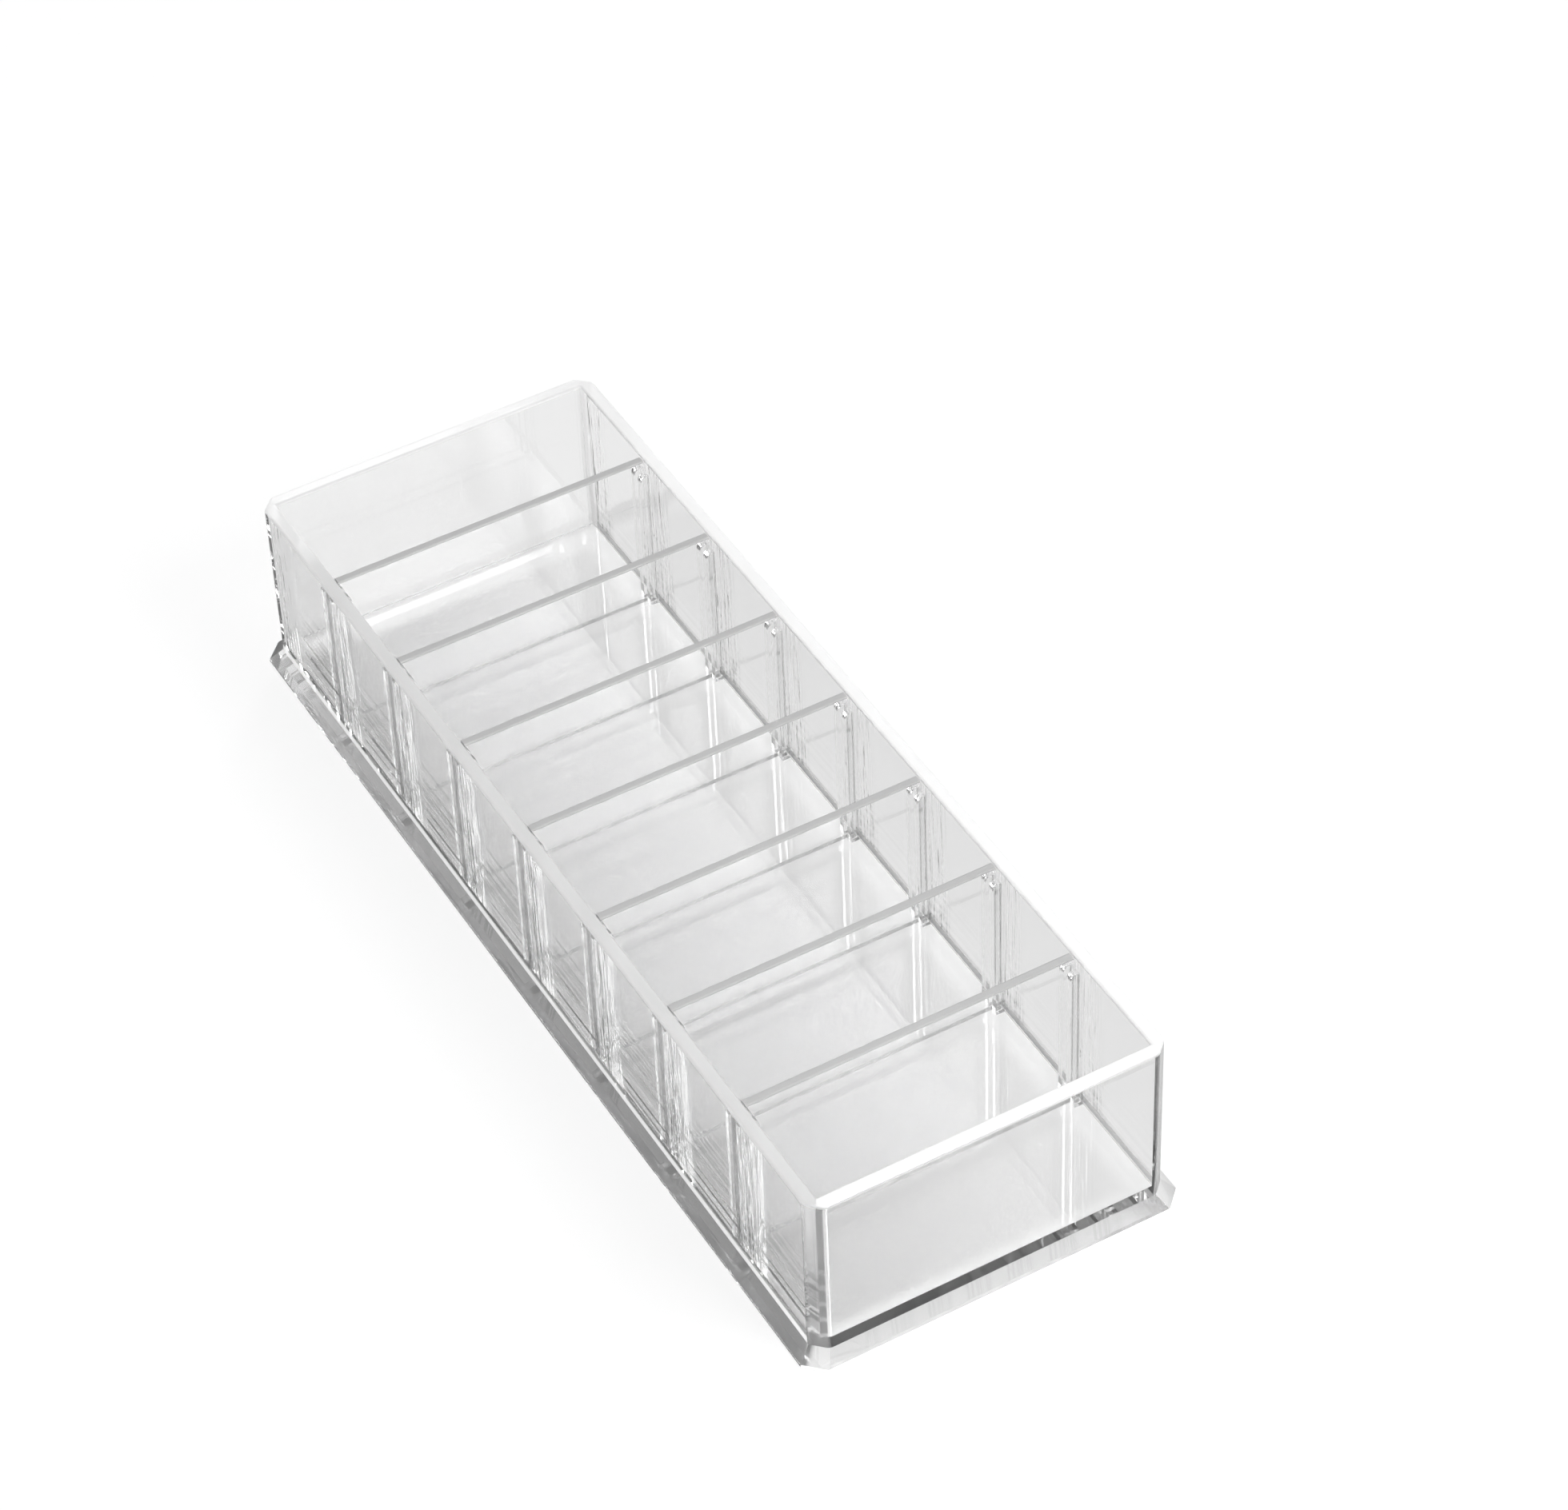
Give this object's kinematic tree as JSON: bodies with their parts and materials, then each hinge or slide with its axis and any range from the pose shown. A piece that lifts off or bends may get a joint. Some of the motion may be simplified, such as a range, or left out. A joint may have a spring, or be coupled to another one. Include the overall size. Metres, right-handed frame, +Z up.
{
  "type": "cosmetic organizer tray",
  "caption": "Long clear open tray with equal compartments on a bevelled base; its thin cross dividers lift out of guide strips.",
  "frame": {"origin": "centre of the footprint, on the face that the tray stands on", "axes": "+X across the tray, +Y along it from the front end to the rear end, +Z up"},
  "size_m": [0.0876, 0.2466, 0.0455],
  "materials": {
    "clear_base": "clear, flame-polished edges",
    "clear_wall": "clear, flame-polished edges",
    "clear_strip": "clear",
    "clear_divider": "clear, polished top edge"
  },
  "bodies": {
    "tray": {"base_plate": "clear_base", "front_wall": "clear_wall", "rear_wall": "clear_wall", "left_wall": "clear_wall", "right_wall": "clear_wall", "left_guide_strips": "clear_strip", "right_guide_strips": "clear_strip"},
    "divider_1_body": {"divider_1": "clear_divider"},
    "divider_2_body": {"divider_2": "clear_divider"},
    "divider_3_body": {"divider_3": "clear_divider"},
    "divider_4_body": {"divider_4": "clear_divider"},
    "divider_5_body": {"divider_5": "clear_divider"},
    "divider_6_body": {"divider_6": "clear_divider"},
    "divider_7_body": {"divider_7": "clear_divider"}
  },
  "joints": [
    {"name": "divider_1_lift", "type": "slide", "parent": "tray", "child": "divider_1_body", "axis": [0, 0, 1], "range_m": [0, 0.042]},
    {"name": "divider_2_lift", "type": "slide", "parent": "tray", "child": "divider_2_body", "axis": [0, 0, 1], "range_m": [0, 0.042]},
    {"name": "divider_3_lift", "type": "slide", "parent": "tray", "child": "divider_3_body", "axis": [0, 0, 1], "range_m": [0, 0.042]},
    {"name": "divider_4_lift", "type": "slide", "parent": "tray", "child": "divider_4_body", "axis": [0, 0, 1], "range_m": [0, 0.042]},
    {"name": "divider_5_lift", "type": "slide", "parent": "tray", "child": "divider_5_body", "axis": [0, 0, 1], "range_m": [0, 0.042]},
    {"name": "divider_6_lift", "type": "slide", "parent": "tray", "child": "divider_6_body", "axis": [0, 0, 1], "range_m": [0, 0.042]},
    {"name": "divider_7_lift", "type": "slide", "parent": "tray", "child": "divider_7_body", "axis": [0, 0, 1], "range_m": [0, 0.042]}
  ]
}
